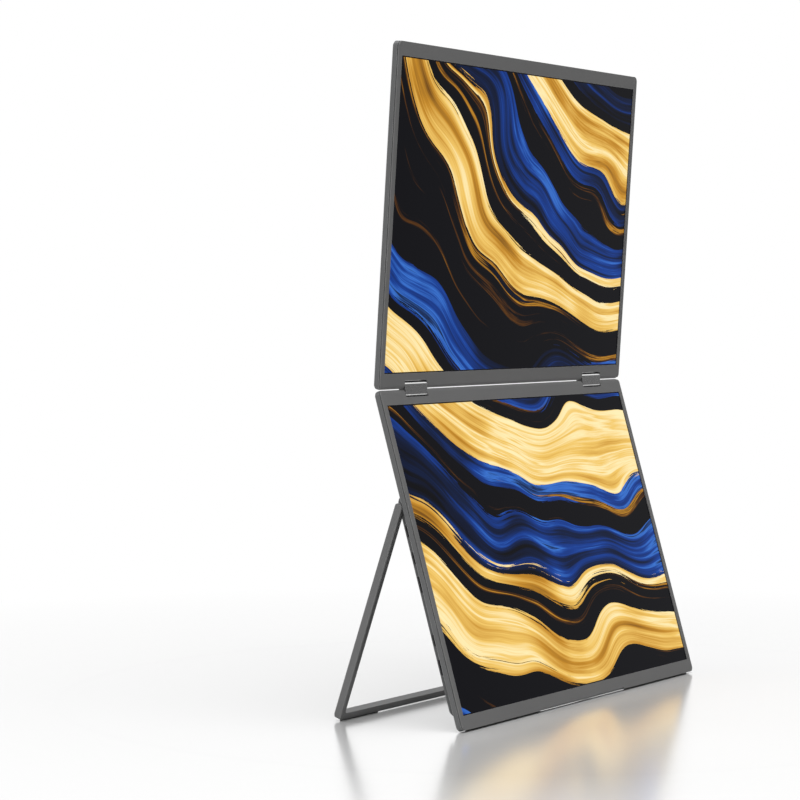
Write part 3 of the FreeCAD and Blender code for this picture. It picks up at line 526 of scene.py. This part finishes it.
def make_port_contacts(material):
    """Contact strips on both faces of each USB-C tongue."""
    up = Vector((0.0, math.sin(LOWER_LEAN), math.cos(LOWER_LEAN)))
    depth = Vector((0.0, math.cos(LOWER_LEAN), -math.sin(LOWER_LEAN)))
    for number, points in enumerate(islands(nodes["usb_c_ports"].data)):
        mouth = min(point.x for point in points)
        middle_up = middle_along(points, up)
        middle_depth = middle_along(points, depth)
        vertices, faces = [], []
        for side, place in itertools.product((-1, 1), range(CONTACTS)):
            first = len(vertices)
            faces += [tuple(first + corner for corner in face) for face in BOX_FACES]
            along = middle_up + (place - (CONTACTS - 1) / 2) * CONTACT_PITCH
            for end, edge, proud in itertools.product(CONTACT_ENDS, CONTACT_EDGES, CONTACT_FACES):
                vertices.append(Vector((mouth + end, 0, 0)) + up * (along + edge)
                                + depth * (middle_depth + side * proud))
        strips = plain_object(f"usb_c_contacts_{number}", vertices, faces)
        strips.data.materials.append(material)
        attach(strips, "lower_screen")


def make_floor():
    """White floor that keeps the object's shadow and soft reflection and fades to plain white."""
    mesh = bpy.data.meshes.new("floor")
    corners = [(FLOOR_RADIUS * math.cos(turn), FLOOR_RADIUS * math.sin(turn), 0.0)
               for turn in (2 * math.pi * step / FLOOR_SIDES for step in range(FLOOR_SIDES))]
    mesh.from_pydata(corners, [], [range(FLOOR_SIDES)])
    floor = bpy.data.objects.new("floor", mesh)
    bpy.context.scene.collection.objects.link(floor)
    graph = Graph("floor_white")
    path = graph.add("LightPath")
    mirrored = graph.math("MAXIMUM", path.outputs["Is Glossy Ray"], path.outputs["Is Transmission Ray"])
    seen = graph.math("MAXIMUM", path.outputs["Is Camera Ray"], mirrored)
    graph.put(graph.shader.inputs["Base Color"], graph.mix(seen, grey(FLOOR_AS_LAMP), grey(FLOOR_AS_SEEN)))
    graph.put(graph.shader.inputs["Metallic"], graph.math("MULTIPLY", seen, FLOOR_MIRRORS))
    graph.shader.inputs["Roughness"].default_value = 0.17
    graph.shader.inputs["Specular IOR Level"].default_value = 0.9
    plain = graph.add("Emission")
    plain.inputs["Color"].default_value = WHITE
    distance = graph.vector_math("LENGTH", graph.place())
    far = graph.range(distance, FLOOR_KEEPS_SHADOW, FLOOR_FADES_OUT, 0.0, 1.0)
    blend = graph.add("MixShader")
    graph.put(blend.inputs[0], graph.math("MULTIPLY", far, seen))
    graph.put(blend.inputs[1], graph.shader.outputs[0])
    graph.put(blend.inputs[2], plain.outputs[0])
    graph.put(graph.output.inputs["Surface"], blend.outputs[0])
    mesh.materials.append(graph.material)


def make_world():
    """White where it is seen or mirrored, a plain softer level where it lights."""
    world = bpy.data.worlds.new("studio")
    world.use_nodes = True
    bpy.context.scene.world = world
    tree = world.node_tree
    background = tree.nodes["Background"]
    path = tree.nodes.new("ShaderNodeLightPath")
    mirrored = tree.nodes.new("ShaderNodeMath")
    mirrored.operation = "MAXIMUM"
    tree.links.new(path.outputs["Is Glossy Ray"], mirrored.inputs[0])
    tree.links.new(path.outputs["Is Transmission Ray"], mirrored.inputs[1])
    seen = tree.nodes.new("ShaderNodeMath")
    seen.operation = "MAXIMUM"
    tree.links.new(path.outputs["Is Camera Ray"], seen.inputs[0])
    tree.links.new(mirrored.outputs[0], seen.inputs[1])
    strength = tree.nodes.new("ShaderNodeMapRange")
    strength.inputs["To Min"].default_value = AMBIENT
    strength.inputs["To Max"].default_value = 1.0
    tree.links.new(seen.outputs[0], strength.inputs["Value"])
    tree.links.new(strength.outputs[0], background.inputs["Strength"])
    background.inputs["Color"].default_value = WHITE


def aim(thing, target):
    thing.rotation_euler = (Vector(target) - thing.location).to_track_quat("-Z", "Y").to_euler()


def softbox(name, place, target, wide, tall, watts):
    light = bpy.data.lights.new(name, "AREA")
    light.shape = "RECTANGLE"
    light.size = wide
    light.size_y = tall
    light.energy = watts
    lamp = bpy.data.objects.new(name, light)
    lamp.location = place
    bpy.context.scene.collection.objects.link(lamp)
    aim(lamp, target)


def make_lights():
    """Three soft lamps, each with its place, target, width, height and watts."""
    middle = (0.0, 0.0, 0.24)
    softbox("top", (-0.2, -0.35, 2.2), middle, 2.0, 2.0, 68.0)
    softbox("key", (-1.5, -0.25, 0.1), (0.0, 0.0, 0.1), 0.8, 0.5, 10.0)
    softbox("back", (-0.9, 1.5, 1.0), middle, 1.0, 0.9, 4.0)


def make_camera():
    lens = bpy.data.cameras.new("photo_view")
    lens.sensor_width = SENSOR
    lens.lens = FOCAL_PIXELS * SENSOR / FRAME_PIXELS
    lens.clip_end = 60.0
    camera = bpy.data.objects.new("photo_view", lens)
    flat = math.cos(VIEW_ELEVATION)
    back = Vector((math.sin(VIEW_AZIMUTH) * flat, -math.cos(VIEW_AZIMUTH) * flat,
                   math.sin(VIEW_ELEVATION)))
    camera.location = VIEW_TARGET + back * VIEW_DISTANCE
    bpy.context.scene.collection.objects.link(camera)
    aim(camera, VIEW_TARGET)
    bpy.context.scene.camera = camera


materials = make_materials()
dress_nodes(materials)
make_cover_screws(materials["dark_screw"])
make_port_contacts(materials["gold"])
make_floor()
make_world()
make_lights()
make_camera()
bpy.context.scene.view_settings.view_transform = "Standard"
